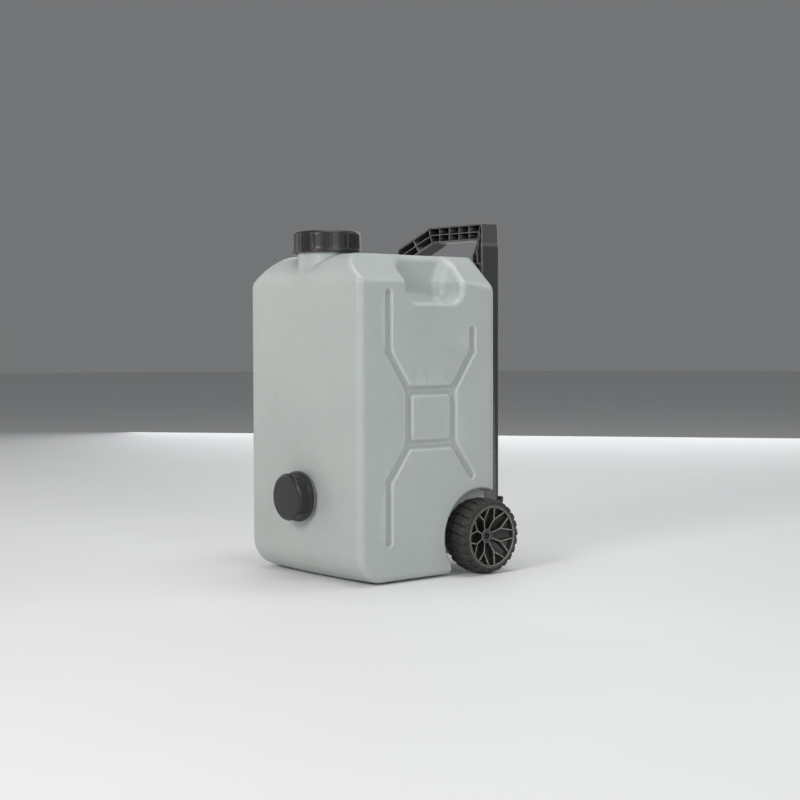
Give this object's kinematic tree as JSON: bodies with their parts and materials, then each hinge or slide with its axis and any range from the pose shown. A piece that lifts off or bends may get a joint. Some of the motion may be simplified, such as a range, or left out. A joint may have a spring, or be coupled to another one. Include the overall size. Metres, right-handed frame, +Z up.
{
  "type": "portable waste tote",
  "caption": "Wheeled upright waste-water tank with screw caps on top and front, lifting scoops, embossed sides, telescopic pull handle and spoked wheels on a rear axle.",
  "frame": {"origin": "on the flat base, under the middle of the tank body", "axes": "+Z up, +X towards the right embossed side face, -Y towards the front face with the drain cap, +Y towards the pull handle and wheels"},
  "size_m": [0.324, 0.3684, 0.536],
  "materials": {
    "tank": "fine satin, blow-moulded",
    "cap": "satin, moulded",
    "handle": "fine texture, moulded",
    "wheel": "satin, moulded",
    "tyre": "matt",
    "seal": "smooth",
    "nylon": "natural nylon",
    "steel": "zinc plated",
    "brass": "machined"
  },
  "bodies": {
    "tank_body": {"tank_shell": "tank", "axle": "steel", "axle_carrier": "handle", "carrier_inserts": "brass", "carrier_screws": "steel", "leg_guide_right": "handle", "leg_guide_left": "handle", "guide_inserts": "brass", "guide_screws": "steel", "wheel_clip_right": "steel", "wheel_clip_left": "steel", "wheel_washer_right": "nylon", "wheel_washer_left": "nylon"},
    "right_wheel": {"wheel_right": "wheel", "tyre_right": "tyre"},
    "left_wheel": {"wheel_left": "wheel", "tyre_left": "tyre"},
    "handle": {"pull_handle": "handle", "leg_stop_right": "nylon", "leg_stop_left": "nylon", "stop_screws": "steel"},
    "filler_seal": {"filler_cap_seal": "seal"},
    "filler_closure": {"filler_cap": "cap"},
    "drain_seal": {"drain_cap_seal": "seal"},
    "drain_closure": {"drain_cap": "cap"}
  },
  "joints": [
    {"name": "right_wheel_spin", "type": "hinge", "parent": "tank_body", "child": "right_wheel", "pos_m": [0.138, 0.1, 0.057], "axis": [1, 0, 0], "continuous": true},
    {"name": "left_wheel_spin", "type": "hinge", "parent": "tank_body", "child": "left_wheel", "pos_m": [-0.138, 0.1, 0.057], "axis": [1, 0, 0], "continuous": true},
    {"name": "handle_slide", "type": "slide", "parent": "tank_body", "child": "handle", "axis": [0, 0, 1], "range_m": [0, 0.3]},
    {"name": "filler_cap_lift", "type": "slide", "parent": "tank_body", "child": "filler_seal", "axis": [0, 0, 1], "range_m": [0, 0.0121]},
    {"name": "filler_cap_turn", "type": "hinge", "parent": "filler_seal", "child": "filler_closure", "pos_m": [0, -0.0867, 0.5], "axis": [0, 0, 1], "range_deg": [0, 720]},
    {"name": "drain_cap_lift", "type": "slide", "parent": "tank_body", "child": "drain_seal", "axis": [0, -1, 0], "range_m": [0, 0.0101]},
    {"name": "drain_cap_turn", "type": "hinge", "parent": "drain_seal", "child": "drain_closure", "pos_m": [0, -0.15, 0.122], "axis": [0, -1, 0], "range_deg": [0, 720]}
  ],
  "couplings": [
    {"joint": "filler_cap_lift", "follows": "filler_cap_turn", "m_per_rad": 0.00095493},
    {"joint": "drain_cap_lift", "follows": "drain_cap_turn", "m_per_rad": 0.00079577}
  ]
}
